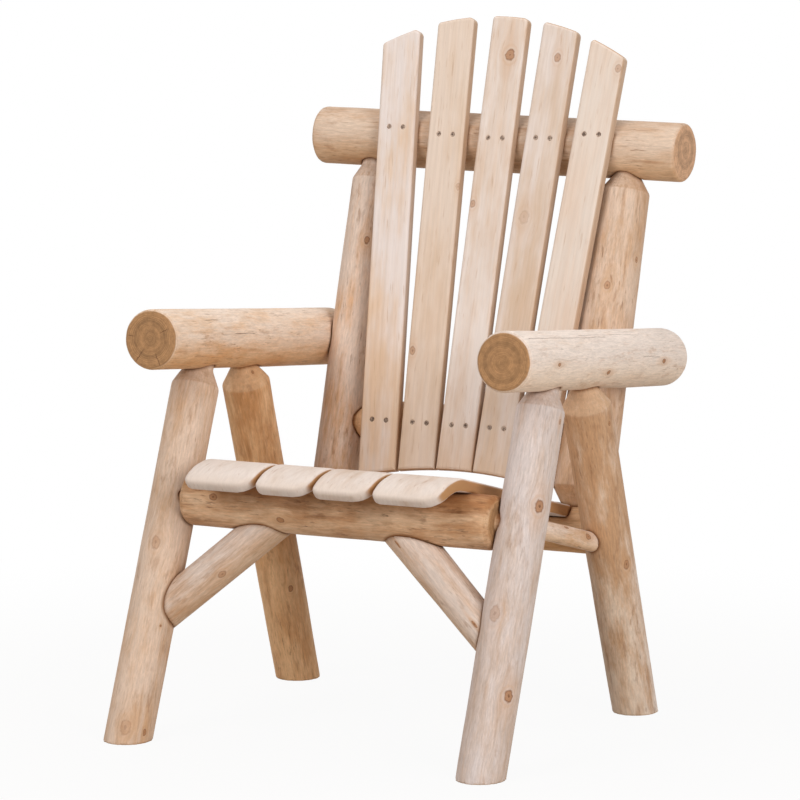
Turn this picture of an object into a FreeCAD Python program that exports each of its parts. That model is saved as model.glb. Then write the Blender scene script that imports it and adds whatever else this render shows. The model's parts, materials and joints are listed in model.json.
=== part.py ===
import FreeCAD, Part
import math
import os
from FreeCAD import Placement, Rotation, Vector

# Log lounge chair: peeled round logs with coned tenons, five fanned back slats
# and four seat slats with a rolled front. Millimetres, +Z up, the sitter faces -Y.
# Y is counted from the front leg axis on the floor, and the finished chair is
# then moved so that it stands centred over the origin.

# Legs and armrests
FOOT_HALF_WIDTH = {"front": 300.0, "rear": 302.0}  # leg axis to the centre plane, on the floor
ARM_HALF_WIDTH = 296.0        # armrest axis to the centre plane
FOOT_SPREAD = 549.0           # front leg axis to rear leg axis, on the floor
FRONT_LEG_REACH = 236.0       # how far back the front leg runs up to the armrest axis
REAR_LEG_REACH = 206.0        # how far forward the rear leg runs up to the armrest axis
LEG_FOOT_DIA = {"front": 74.0, "rear": 71.0}
LEG_HEAD_DIA = {"front": 74.0, "rear": 76.0}       # at the shoulder of the cone
LEG_TENON_DIA = {"front": 46.0, "rear": 36.0}
LEG_CONE = {"front": 28.0, "rear": 32.0}           # length of the coned shoulder
LEG_CONE_DROP = {"front": 49.0, "rear": 46.0}      # armrest axis down to the small end of the cone
ARM_HEIGHT = 592.0            # armrest axis above the floor, at the front leg
ARM_SLOPE = 5.7               # degrees down towards the back
ARM_DIA = {-1: 93.0, 1: 91.0}                      # left (-1) and right (1) logs differ
ARM_FRONT_OVERHANG = {-1: 166.0, 1: 157.0}         # ahead of the front leg, along the armrest
ARM_REAR_OVERHANG = {-1: 56.0, 1: 64.0}            # behind the back post axis, along the armrest

# Seat frame
FRONT_RAIL_DIA = 83.0
FRONT_RAIL_HEIGHT = 358.0     # axis above the floor
FRONT_RAIL_FORWARD = 10.0     # axis ahead of the front leg axis
FRONT_RAIL_TENON_DIA = 36.0
FRONT_RAIL_COPE = 5.0         # how far the coped shoulder wraps the leg
FRONT_RAIL_EASE = 14.0        # rounded rim of the shoulder
REAR_RAIL_DIA = 77.0
REAR_RAIL_LENGTH = 590.0
REAR_RAIL_SADDLE = 19.0       # depth of the saddle that the rear leg lies in
REAR_RAIL_BELOW_SEAT = 14.4   # axis below the seat slats' under side
SIDE_RAIL_DIA = 30.0
SIDE_RAIL_TENON_DIA = 20.0
SIDE_RAIL_HALF_WIDTH = 287.0  # pole axis to the centre plane
SIDE_RAIL_FRONT_HEIGHT = 358.0
SIDE_RAIL_REAR_HEIGHT = 280.0
BRACE_FOOT_DIA = {-1: 59.0, 1: 57.0}
BRACE_HEAD_DIA = {-1: 61.0, 1: 65.0}
BRACE_FOOT_HEIGHT = 173.0     # on the front leg axis
BRACE_HEAD_HALF_WIDTH = {-1: 87.0, 1: 77.0}  # on the front rail axis
BRACE_BACKSET = 8.0           # brace axis behind the axes of the leg and the rail
TENON_PAST_AXIS = 12.0        # a tenon stops this far past the axis of the log it enters

# Back frame
POST_FOOT_HALF_SPACING = {-1: 219.0, 1: 217.0}
POST_HEAD_HALF_SPACING = {-1: 223.0, 1: 226.0}
POST_FOOT_DIA = {-1: 75.0, 1: 97.0}
POST_HEAD_DIA = {-1: 71.0, 1: 79.0}
POST_LEAN = 16.9              # degrees back from upright
POST_BACKSET = 6.0            # post axis behind the rear rail axis
POST_FOOT_TENON_DIA = 52.0
POST_HEAD_TENON_DIA = 46.0
POST_FOOT_CONE = 34.0
POST_FOOT_CONE_RISE = 27.0    # rear rail axis up to the small end of the foot cone
POST_HEAD_CONE = 24.0
POST_HEAD_CONE_DROP = 46.0    # top rail axis down to the small end of the head cone
TOP_RAIL_DIA = 93.0
TOP_RAIL_HEIGHT = 874.5
TOP_RAIL_LENGTH = 645.0
TOP_RAIL_CENTRE = -3.0        # middle of the rail beside the centre plane
TOP_RAIL_TILT = 0.56          # degrees by which its left end is higher
LOWER_RAIL_DIA = 76.0
LOWER_RAIL_HEIGHT = 427.5
LOWER_RAIL_TENON_DIA = 42.0
LOWER_RAIL_CONE = 24.0
LOWER_RAIL_CONE_BITE = 4.0    # how far the cone sinks into the post
LOWER_RAIL_TENON_SHORT = 5.0  # tenon tip short of the post axis

# Back slats
BACK_SLAT_WIDTHS = (66.0, 64.5, 63.0, 63.0, 63.5)
BACK_SLAT_THICK = 16.0
SLAT_TOP_CENTRES = (-164.0, -74.0, 14.5, 98.0, 181.0)  # slats on the top rail, set by eye on the chair
SLAT_LOW_CENTRES = (-128.5, -56.0, 13.5, 80.5, 150.0)  # and on the lower rail
CROWN_RISE = 196.0            # top rail axis up to the top of the crown
CROWN_RADIUS = 440.0
CROWN_CENTRE = -4.0           # top of the crown beside the centre plane
ARCH_DROP = 71.5              # lower rail axis down to the top of the bottom arch
ARCH_RADIUS = 700.0
ARCH_CENTRE = 13.0            # top of the arch beside the centre plane
SLAT_TOP_CORNER = {-1: 6.0, 1: 10.0}  # left and right
SLAT_EASE = 5.0
HOUSING = 1.5                 # depth of the flat seat cut in a rail under a slat

# Seat slats
SEAT_SLAT_WIDTHS = (117.0, 92.0, 95.5, 113.5)
SEAT_SLAT_GAP = 5.0
SEAT_SLAT_THICK = 20.0
SEAT_SLOPE = 14.0             # degrees down towards the back
SEAT_ROLL_MARGIN = 20.5       # the roll begins this far ahead of the front rail's housing
SEAT_ROLL_RADIUS = 100.0
SEAT_LIP_ANGLE = 44.0         # the lip points down by this much
SEAT_LIP_CORNER = {-1: 11.0, 1: 30.0}  # left and right, cut by hand
SEAT_TOP_EASE = 5.0           # the top edges are rounded over
SEAT_UNDER_EASE = 3.0
SEAT_END_SETBACK = 18.0       # slat ends ahead of the rear rail axis

# Fasteners
SCREW_HEAD_DIA = 8.0
SCREW_SHANK_DIA = 4.4
SCREW_POINT = 6.0
SCREW_TIP_DIA = 0.8
SCREW_SINK = 0.7              # head below the wood face
BACK_SCREW_LENGTH = 50.0
SEAT_SCREW_LENGTH = 42.0
BACK_SCREW_SPACING = 25.0
TOP_SCREW_ARCH = 3.0          # outer screws climb by this times the square of the step
SEAT_SCREW_EDGE = 24.0        # screw to the side edge of a seat slat
SEAT_SCREW_END = 10.0         # screw to the rear end of a seat slat
RECESS_WIDTH = 1.1
RECESS_SPAN = 4.6
RECESS_DEPTH = 1.5
LAG_DIA = 8.0
LAG_LENGTH = 100.0
REAR_LAG_LENGTH = 90.0
LAG_HEAD_ACROSS = 13.0
LAG_HEAD_HEIGHT = 5.5
LAG_SINK = 12.0               # depth of the counterbore
LAG_BORE_DIA = 26.0
WASHER_DIA = 22.0
WASHER_THICK = 2.0
REAR_LAG_HALF_WIDTH = 275.0
BRACE_SCREW_LENGTH = 75.0
BRACE_SCREW_REACH = 74.0      # from the crossed log's axis along the brace to the pocket
BRACE_SCREW_OFFSET = 20.0     # pocket behind the brace axis

# Clearances and finish
FIT = 0.25                    # between curved wood faces
SCREW_FIT = 0.15
HOUSING_FIT = 0.3
RIM_EASE = 6.0                # rounded rim of a sawn log end
SIDES = {"left": -1, "right": 1}
X_AXIS = Vector(1, 0, 0)
Z_AXIS = Vector(0, 0, 1)
SPARE = 60.0                  # how far a cutting block runs past what it cuts


# Turned shapes
def sawn_end(radius, ease):
    """Outline of a sawn end, as (along, radius) points from the axis outwards."""
    lift = ease * (1 - math.sqrt(0.5))
    face = ((0, 0), (0, radius - ease))
    rim = ((0, radius - ease), (lift, radius - lift), (ease, radius))
    return [face, rim]


def square_end(radius):
    return [((0, 0), (0, radius))]


def tenon_end(radius, tenon_radius, tenon_length, cone):
    face = ((0, 0), (0, tenon_radius))
    tenon = ((0, tenon_radius), (tenon_length, tenon_radius))
    shoulder = ((tenon_length, tenon_radius), (tenon_length + cone, radius))
    return [face, tenon, shoulder]


def outline_edge(points):
    spots = [Vector(radius, 0, along) for along, radius in points]
    if len(spots) == 3:
        return Part.Arc(*spots).toShape()
    return Part.LineSegment(*spots).toShape()


def turned(start, end, tail, head):
    """A turned solid from start to end, with its two ends outlined by tail and head."""
    length = (end - start).Length
    far = [tuple((length - along, radius) for along, radius in reversed(run)) for run in reversed(head)]
    outline = tail + [(tail[-1][-1], far[0][0])] + far
    outline.append((outline[-1][-1], outline[0][0]))
    face = Part.Face(Part.Wire([outline_edge(run) for run in outline]))
    solid = face.revolve(Vector(0, 0, 0), Z_AXIS, 360)
    solid.Placement = Placement(start, Rotation(Z_AXIS, end - start))
    return solid


def round_bar(start, end, radius):
    return Part.makeCylinder(radius, (end - start).Length, start, end - start)


# Axes of the frame
def unit(vector):
    return vector * (1 / vector.Length)


def arm_axis_height(y):
    return ARM_HEIGHT - math.tan(math.radians(ARM_SLOPE)) * (y - FRONT_LEG_REACH)


def leg_axis(side, place):
    """Foot and head of a leg axis: the head lies on the armrest axis."""
    foot_y = 0.0 if place == "front" else FOOT_SPREAD
    head_y = FRONT_LEG_REACH if place == "front" else FOOT_SPREAD - REAR_LEG_REACH
    foot = Vector(side * FOOT_HALF_WIDTH[place], foot_y, 0)
    head = Vector(side * ARM_HALF_WIDTH, head_y, arm_axis_height(head_y))
    return foot, head


def leg_point(side, place, height):
    foot, head = leg_axis(side, place)
    return foot + (head - foot) * (height / head.z)


front_rail_y = leg_point(1, "front", FRONT_RAIL_HEIGHT).y - FRONT_RAIL_FORWARD
front_rail_axis = Vector(0, front_rail_y, FRONT_RAIL_HEIGHT)

slope = math.radians(SEAT_SLOPE)
seat_up = Vector(0, math.sin(slope), math.cos(slope))
seat_origin = front_rail_axis + seat_up * (FRONT_RAIL_DIA / 2 - HOUSING)

# The rear rail lies behind the rear legs and under the slope of the seat
rear_foot, rear_head = leg_axis(1, "rear")
rear_leg_lean = math.atan2(REAR_LEG_REACH, rear_head.z)
rear_leg_normal = Vector(0, math.cos(rear_leg_lean), math.sin(rear_leg_lean))
rear_leg_radius = (LEG_FOOT_DIA["rear"] + LEG_HEAD_DIA["rear"]) / 4  # half way up, where the rail is
rear_rail_offset = rear_leg_radius + REAR_RAIL_DIA / 2 - REAR_RAIL_SADDLE
rear_rail_run = FOOT_SPREAD + rear_rail_offset / math.cos(rear_leg_lean) - seat_origin.y
rear_rail_low = seat_origin.z - REAR_RAIL_BELOW_SEAT - rear_rail_run * math.tan(slope)
rear_rail_height = rear_rail_low / (1 - math.tan(slope) * math.tan(rear_leg_lean))
rear_rail_y = leg_point(1, "rear", rear_rail_height).y + rear_rail_offset / math.cos(rear_leg_lean)
rear_rail_axis = Vector(0, rear_rail_y, rear_rail_height)


def post_axis_y(height):
    rise = height - rear_rail_height
    return rear_rail_y + POST_BACKSET + rise * math.tan(math.radians(POST_LEAN))


def up_post(height, foot, head):
    """A size of the posts at a height, between its values at the rear rail and at the top rail."""
    return foot + (head - foot) * (height - rear_rail_height) / (TOP_RAIL_HEIGHT - rear_rail_height)


def post_point(side, height):
    half_spacing = up_post(height, POST_FOOT_HALF_SPACING[side], POST_HEAD_HALF_SPACING[side])
    return Vector(side * half_spacing, post_axis_y(height), height)


def post_radius(side, height):
    return up_post(height, POST_FOOT_DIA[side], POST_HEAD_DIA[side]) / 2


arm_post_turn = math.tan(math.radians(ARM_SLOPE)) * math.tan(math.radians(POST_LEAN))
arm_over_rail = arm_axis_height(post_axis_y(rear_rail_height)) - rear_rail_height
arm_post_height = rear_rail_height + arm_over_rail / (1 + arm_post_turn)
top_rail_axis = Vector(0, post_axis_y(TOP_RAIL_HEIGHT), TOP_RAIL_HEIGHT)
lower_rail_axis = Vector(0, post_axis_y(LOWER_RAIL_HEIGHT), LOWER_RAIL_HEIGHT)

front_lean = math.atan2(FRONT_LEG_REACH, ARM_HEIGHT)
chair_front = -LEG_FOOT_DIA["front"] / 2 / math.cos(front_lean)
chair_back = top_rail_axis.y + TOP_RAIL_DIA / 2
chair_middle = (chair_front + chair_back) / 2


# Logs, each with an allowance that makes it the cutter for what it enters
def leg(side, place, grow=0.0):
    foot, head = leg_axis(side, place)
    along = unit(head - foot)
    tip = head + along * (TENON_PAST_AXIS + grow)
    tenon_length = TENON_PAST_AXIS + LEG_CONE_DROP[place] + grow
    radius = LEG_HEAD_DIA[place] / 2 + grow
    head_end = tenon_end(radius, LEG_TENON_DIA[place] / 2 + grow, tenon_length, LEG_CONE[place])
    solid = turned(foot - along * SPARE, tip, square_end(LEG_FOOT_DIA[place] / 2 + grow), head_end)
    ground = Part.makeBox(4 * SPARE, 4 * SPARE, 2 * SPARE, foot - Vector(2 * SPARE, 2 * SPARE, 2 * SPARE))
    return solid.cut(ground)


def armrest(side):
    fall = math.radians(ARM_SLOPE)
    along = Vector(0, math.cos(fall), -math.sin(fall))
    start = leg_axis(side, "front")[1] - along * ARM_FRONT_OVERHANG[side]
    end = Vector(start.x, post_axis_y(arm_post_height), arm_post_height) + along * ARM_REAR_OVERHANG[side]
    rim = sawn_end(ARM_DIA[side] / 2, RIM_EASE)
    return turned(start, end, rim, rim)


def cross_log(middle, length, dia, ease=RIM_EASE, along=X_AXIS):
    rim = sawn_end(dia / 2, ease)
    half = along * (length / 2)
    return turned(middle - half, middle + half, rim, rim)


def front_rail_shoulder():
    """Half length of the front rail, out to where its shoulder wraps the leg."""
    return abs(leg_point(1, "front", FRONT_RAIL_HEIGHT).x) - LEG_HEAD_DIA["front"] / 2 + FRONT_RAIL_COPE


def front_rail_tenons(grow=0.0):
    half = X_AXIS * (leg_point(1, "front", FRONT_RAIL_HEIGHT).x + TENON_PAST_AXIS + grow)
    return round_bar(front_rail_axis - half, front_rail_axis + half, FRONT_RAIL_TENON_DIA / 2 + grow)


def front_rail_log(grow=0.0):
    return cross_log(front_rail_axis, 2 * front_rail_shoulder(), FRONT_RAIL_DIA + 2 * grow, FRONT_RAIL_EASE)


def side_rail_ends(side):
    front = leg_point(side, "front", SIDE_RAIL_FRONT_HEIGHT)
    rear = leg_point(side, "rear", SIDE_RAIL_REAR_HEIGHT)
    front.x = side * SIDE_RAIL_HALF_WIDTH
    rear.x = side * SIDE_RAIL_HALF_WIDTH
    return front, rear


def side_rail_tenons(side, grow=0.0):
    front, rear = side_rail_ends(side)
    inset = unit(rear - front) * (TENON_PAST_AXIS - grow)
    return round_bar(front + inset, rear - inset, SIDE_RAIL_TENON_DIA / 2 + grow)


def brace_ends(side):
    backset = Vector(0, BRACE_BACKSET, 0)
    foot = leg_point(side, "front", BRACE_FOOT_HEIGHT) + backset
    head = front_rail_axis + X_AXIS * (side * BRACE_HEAD_HALF_WIDTH[side]) + backset
    return foot, head


def brace_log(side):
    foot, head = brace_ends(side)
    length = (head - foot).Length
    return Part.makeCone(BRACE_FOOT_DIA[side] / 2, BRACE_HEAD_DIA[side] / 2, length, foot, head - foot)


def post(side, grow=0.0):
    foot = post_point(side, rear_rail_height)
    head = post_point(side, TOP_RAIL_HEIGHT)
    past = unit(head - foot) * (TENON_PAST_AXIS + grow)
    foot_radius, head_radius = (dia[side] / 2 + grow for dia in (POST_FOOT_DIA, POST_HEAD_DIA))
    foot_tenon = TENON_PAST_AXIS + POST_FOOT_CONE_RISE + grow
    head_tenon = TENON_PAST_AXIS + POST_HEAD_CONE_DROP + grow
    foot_end = tenon_end(foot_radius, POST_FOOT_TENON_DIA / 2 + grow, foot_tenon, POST_FOOT_CONE)
    head_end = tenon_end(head_radius, POST_HEAD_TENON_DIA / 2 + grow, head_tenon, POST_HEAD_CONE)
    return turned(foot - past, head + past, foot_end, head_end)


def lower_rail(grow=0.0):
    radius = LOWER_RAIL_DIA / 2 + grow
    tips = []
    ends = []
    for side in (-1, 1):
        cone_tip = post_radius(side, LOWER_RAIL_HEIGHT) - LOWER_RAIL_CONE_BITE
        tenon_length = cone_tip - LOWER_RAIL_TENON_SHORT + grow
        ends.append(tenon_end(radius, LOWER_RAIL_TENON_DIA / 2 + grow, tenon_length, LOWER_RAIL_CONE))
        reach = abs(post_point(side, LOWER_RAIL_HEIGHT).x) - LOWER_RAIL_TENON_SHORT + grow
        tips.append(lower_rail_axis + X_AXIS * (side * reach))
    return turned(*tips, *ends)


# Back slats, drawn on their own plane: X across, Y up the slat, Z to the front
top_seat = TOP_RAIL_DIA / 2 - HOUSING
low_seat = LOWER_RAIL_DIA / 2 - HOUSING
rail_gap = (top_rail_axis - lower_rail_axis).Length
back_lean = math.radians(POST_LEAN) - math.asin((top_seat - low_seat) / rail_gap)
slat_up = Vector(0, math.sin(back_lean), math.cos(back_lean))
slat_front = Vector(0, -math.cos(back_lean), math.sin(back_lean))
back_plane = Placement(top_rail_axis + slat_front * top_seat, Rotation(X_AXIS, 90 - math.degrees(back_lean)))
lower_rail_down = (top_rail_axis - lower_rail_axis).dot(slat_up)
slat_numbers = range(len(BACK_SLAT_WIDTHS))


def fan_angle(number):
    spread = SLAT_TOP_CENTRES[number] - SLAT_LOW_CENTRES[number]
    return math.degrees(math.atan(spread / lower_rail_down))


def on_fan(number, across, up):
    """Point of the back plane beside a slat's own centre line, at a height above the top rail axis."""
    middle = SLAT_TOP_CENTRES[number] + up * math.tan(math.radians(fan_angle(number)))
    return Vector(middle + across, up, 0)


def fan_bar(number, side_room, thick):
    """A straight bar along a slat's centre line, longer than the finished slat."""
    low = lower_rail_down + ARCH_DROP + SPARE
    width = BACK_SLAT_WIDTHS[number] + 2 * side_room
    bar = Part.makeBox(width, low + CROWN_RISE + SPARE, thick, Vector(-width / 2, -low, 0))
    bar.Placement = Placement(on_fan(number, 0, 0), Rotation(Z_AXIS, -fan_angle(number)))
    return bar


def back_panel():
    """Outline that all the slats are sawn to: a crowned top and an arched bottom."""
    half = CROWN_RADIUS * 0.7
    crown_side = CROWN_RISE - CROWN_RADIUS + math.sqrt(CROWN_RADIUS**2 - half**2)
    arch_top = -lower_rail_down - ARCH_DROP
    left, right = (Vector(CROWN_CENTRE + x, crown_side, 0) for x in (-half, half))
    arch_ends = []
    for x in (half, -half):
        sag = ARCH_RADIUS - math.sqrt(ARCH_RADIUS**2 - (x - ARCH_CENTRE)**2)
        arch_ends.append(Vector(x, arch_top - sag, 0))
    crown = Part.Arc(left, Vector(CROWN_CENTRE, CROWN_RISE, 0), right).toShape()
    arch = Part.Arc(arch_ends[0], Vector(ARCH_CENTRE, arch_top, 0), arch_ends[1]).toShape()
    right_side = Part.LineSegment(right, arch_ends[0]).toShape()
    left_side = Part.LineSegment(arch_ends[1], left).toShape()
    face = Part.Face(Part.Wire([crown, right_side, arch, left_side]))
    return face.extrude(Vector(0, 0, BACK_SLAT_THICK))


def edges_on(shape, height):
    """Edges that lie wholly on one level of the shape's own Z."""
    return [edge for edge in shape.Edges if all(abs(spot.Z - height) < 1e-4 for spot in edge.Vertexes)]


def top_corner(slat, side):
    """Edge through the thickness of a slat at its top left or top right corner."""
    through = [edge for edge in slat.Edges if edge.BoundBox.ZLength > BACK_SLAT_THICK / 2]
    top = [edge for edge in through if edge.BoundBox.Center.y > 0]
    return max(top, key=lambda edge: side * edge.BoundBox.Center.x)


def back_slat(number, panel):
    slat = fan_bar(number, 0, BACK_SLAT_THICK).common(panel)
    for side, radius in SLAT_TOP_CORNER.items():
        slat = slat.makeFillet(radius, [top_corner(slat, side)])
    slat = slat.makeFillet(SLAT_EASE, edges_on(slat, BACK_SLAT_THICK))
    return placed(slat, back_plane)


def back_housing(number):
    return placed(fan_bar(number, HOUSING_FIT, SPARE), back_plane)


def placed(shape, placement):
    """The shape carried from a drawing plane into the chair."""
    return shape.transformed(placement.toMatrix())


# Seat slats, drawn as a side view: Y to the back along the slope, Z square to it
seat_plane = Placement(seat_origin, Rotation(X_AXIS, -SEAT_SLOPE))
seat_end = (rear_rail_y - SEAT_END_SETBACK - seat_origin.y) / math.cos(slope)
roll_start = math.sqrt(HOUSING * (FRONT_RAIL_DIA - HOUSING)) + SEAT_ROLL_MARGIN


def roll_point(radius, angle):
    """Point of the rolled front, by its radius and its turn from the straight run."""
    turn = math.radians(angle)
    centre_z = SEAT_SLAT_THICK - SEAT_ROLL_RADIUS
    return Vector(0, -roll_start - radius * math.sin(turn), centre_z + radius * math.cos(turn))


def seat_slat(width):
    full_turn = SEAT_SLOPE + SEAT_LIP_ANGLE
    inner = SEAT_ROLL_RADIUS - SEAT_SLAT_THICK
    top = [roll_point(SEAT_ROLL_RADIUS, full_turn * share) for share in (0, 0.5, 1)]
    under = [roll_point(inner, full_turn * share) for share in (1, 0.5, 0)]
    rear_top = Vector(0, seat_end, SEAT_SLAT_THICK)
    rear_under = Vector(0, seat_end, 0)
    runs = [
        Part.LineSegment(rear_top, top[0]),
        Part.Arc(*top),
        Part.LineSegment(top[2], under[0]),
        Part.Arc(*under),
        Part.LineSegment(under[2], rear_under),
        Part.LineSegment(rear_under, rear_top),
    ]
    profile = Part.Face(Part.Wire([run.toShape() for run in runs]))
    profile.translate(X_AXIS * (-width / 2))
    slat = profile.extrude(X_AXIS * width)
    lip_middle = (top[2] + under[0]) * 0.5
    for side, radius in SEAT_LIP_CORNER.items():
        corner = Vector(side * width / 2, lip_middle.y, lip_middle.z)
        slat = slat.makeFillet(radius, [edge for edge in slat.Edges if is_at(edge, corner)])
    slat = slat.makeFillet(SEAT_TOP_EASE, eased_edges(slat, SEAT_SLAT_THICK))
    return slat.makeFillet(SEAT_UNDER_EASE, eased_edges(slat, 0))


def is_at(edge, middle):
    return (edge.BoundBox.Center - middle).Length < 1e-3


def above_under_side(spot):
    """How far a point stands off the under side of a seat slat, on the straight run or on the roll."""
    centre = roll_point(0, 0)
    if spot.y > centre.y:
        return spot.z
    return math.hypot(spot.y - centre.y, spot.z - centre.z) - (SEAT_ROLL_RADIUS - SEAT_SLAT_THICK)


def eased_edges(slat, level):
    """Edges of a seat slat on one of its broad faces, from the rear end round the lip and back."""
    chosen = []
    for edge in slat.Edges:
        box = edge.BoundBox
        across = box.YLength < 1e-3 and box.YMin > -roll_start - 1e-3
        on_face = all(abs(above_under_side(spot.Point) - level) < 1e-3 for spot in edge.Vertexes)
        if on_face and not across:
            chosen.append(edge)
    return chosen


def seat_housing(width):
    size = width + 2 * HOUSING_FIT
    run = roll_start + seat_end + HOUSING_FIT
    return Part.makeBox(size, run, SPARE, Vector(-size / 2, -roll_start, 0))


def seat_slat_centres():
    total = sum(SEAT_SLAT_WIDTHS) + SEAT_SLAT_GAP * (len(SEAT_SLAT_WIDTHS) - 1)
    left = -total / 2
    centres = []
    for width in SEAT_SLAT_WIDTHS:
        centres.append(left + width / 2)
        left += width + SEAT_SLAT_GAP
    return centres


# Fasteners, drawn with the head at the origin and the point along +Z
def screw(length):
    head = SCREW_HEAD_DIA / 2
    shank = SCREW_SHANK_DIA / 2
    outline = [
        ((0, 0), (0, head)),
        ((0, head), (head - shank, shank)),
    ]
    tip = [
        ((0, 0), (0, SCREW_TIP_DIA / 2)),
        ((0, SCREW_TIP_DIA / 2), (SCREW_POINT, shank)),
    ]
    solid = turned(Vector(0, 0, 0), Z_AXIS * length, outline, tip)
    for across, deep in ((RECESS_WIDTH, RECESS_SPAN), (RECESS_SPAN, RECESS_WIDTH)):
        solid = solid.cut(Part.makeBox(across, deep, RECESS_DEPTH, Vector(-across / 2, -deep / 2, 0)))
    return solid


def screw_hole(length, mouth):
    """Pilot hole with a countersink that opens out to the wood face."""
    head = SCREW_HEAD_DIA / 2 + SCREW_FIT
    shank = SCREW_SHANK_DIA / 2 + SCREW_FIT
    outline = [
        ((0, 0), (0, head + mouth)),
        ((0, head + mouth), (mouth + head - shank, shank)),
    ]
    return turned(Z_AXIS * -mouth, Z_AXIS * (length + SCREW_FIT), outline, square_end(shank))


def pocket_hole(length):
    head = SCREW_HEAD_DIA / 2 + SCREW_FIT
    bore = round_bar(Z_AXIS * -SPARE, Vector(0, 0, 0), head)
    return bore.fuse(screw_hole(length, 0))


def lag_screw(length):
    across = LAG_HEAD_ACROSS / math.sqrt(3)
    turns = [math.radians(60 * number) for number in range(7)]
    corners = [Vector(across * math.cos(turn), across * math.sin(turn), 0) for turn in turns]
    head = Part.Face(Part.makePolygon(corners)).extrude(Z_AXIS * -LAG_HEAD_HEIGHT)
    tip = [
        ((0, 0), (0, SCREW_TIP_DIA / 2)),
        ((0, SCREW_TIP_DIA / 2), (LAG_DIA, LAG_DIA / 2)),
    ]
    shank = turned(Vector(0, 0, 0), Z_AXIS * length, square_end(LAG_DIA / 2), tip)
    return head.fuse(shank).removeSplitter()


def washer():
    plate = Part.makeCylinder(WASHER_DIA / 2, WASHER_THICK)
    return plate.cut(Part.makeCylinder(LAG_DIA / 2 + SCREW_FIT, WASHER_THICK))


def lag_hole(length):
    """Shank hole and counterbore, with the bottom of the counterbore at Z = 0."""
    shank = round_bar(Vector(0, 0, 0), Z_AXIS * (length + SCREW_FIT), LAG_DIA / 2 + SCREW_FIT)
    return shank.fuse(round_bar(Z_AXIS * -SPARE, Vector(0, 0, 0), LAG_BORE_DIA / 2))


def aimed(shape, point, direction):
    return shape.transformed(Placement(point, Rotation(Z_AXIS, direction)).toMatrix())


# Where each fastener starts and which way it points
def back_screw_spots(rail):
    spots = []
    for number in slat_numbers:
        step = number - len(slat_numbers) // 2
        up = TOP_SCREW_ARCH * (step**2 - 1) if rail == "top" else -lower_rail_down
        for side in (-1, 1):
            face = on_fan(number, side * BACK_SCREW_SPACING / 2, up)
            face.z = BACK_SLAT_THICK - SCREW_SINK
            spots.append((back_plane.multVec(face), slat_front * -1))
    return spots


def seat_screw_spots(rail):
    run = 0.0 if rail == "front" else seat_end - SEAT_SCREW_END
    spots = []
    for centre, width in zip(seat_slat_centres(), SEAT_SLAT_WIDTHS):
        for side in (-1, 1):
            across = centre + side * (width / 2 - SEAT_SCREW_EDGE)
            face = Vector(across, run, SEAT_SLAT_THICK - SCREW_SINK)
            spots.append((seat_plane.multVec(face), seat_up * -1))
    return spots


def brace_screw_spots(side):
    """Pocket screws on the rear side of a brace, aimed at the axes of the logs it meets."""
    foot, head = brace_ends(side)
    along = unit(head - foot)
    behind = unit(Vector(0, 1, 0) - along * along.y)
    spots = []
    for target, inward in ((foot, along), (head, along * -1)):
        start = target + inward * BRACE_SCREW_REACH + behind * BRACE_SCREW_OFFSET
        spots.append((start, unit(target - start)))
    return spots


def arm_lag_spot(side):
    """Bottom of the counterbore on the inner side of a post, level with the armrest axis."""
    spot = post_point(side, arm_post_height)
    spot.x -= side * (post_radius(side, arm_post_height) - LAG_SINK)
    return spot, X_AXIS * side


def rear_lag_spot(side):
    spot = rear_rail_axis + rear_leg_normal * (REAR_RAIL_DIA / 2 - LAG_SINK)
    return spot + X_AXIS * (side * REAR_LAG_HALF_WIDTH), rear_leg_normal * -1


def drill(log, hole, spots):
    for point, direction in spots:
        log = log.cut(aimed(hole, point, direction))
    return log


def cut_all(log, cutters):
    for cutter in cutters:
        log = log.cut(cutter)
    return log


def lag_parts(spots, length):
    """Lag screws and washers, each washer flat on the bottom of its counterbore."""
    bolts = []
    rings = []
    for point, direction in spots:
        rings.append(aimed(washer(), point - direction * WASHER_THICK, direction))
        bolts.append(aimed(lag_screw(length), point - direction * WASHER_THICK, direction))
    return bolts, rings


nodes = {}
back_hole = screw_hole(BACK_SCREW_LENGTH, SPARE / 4)
seat_hole = screw_hole(SEAT_SCREW_LENGTH, SPARE / 4)
brace_hole = pocket_hole(BRACE_SCREW_LENGTH)
rear_lag_spots = [rear_lag_spot(side) for side in SIDES.values()]
arm_lag_spots = [arm_lag_spot(side) for side in SIDES.values()]
seat_spots = {rail: seat_screw_spots(rail) for rail in ("front", "rear")}
back_spots = {rail: back_screw_spots(rail) for rail in ("top", "lower")}
brace_spots = {side: brace_screw_spots(side) for side in SIDES.values()}

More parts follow.
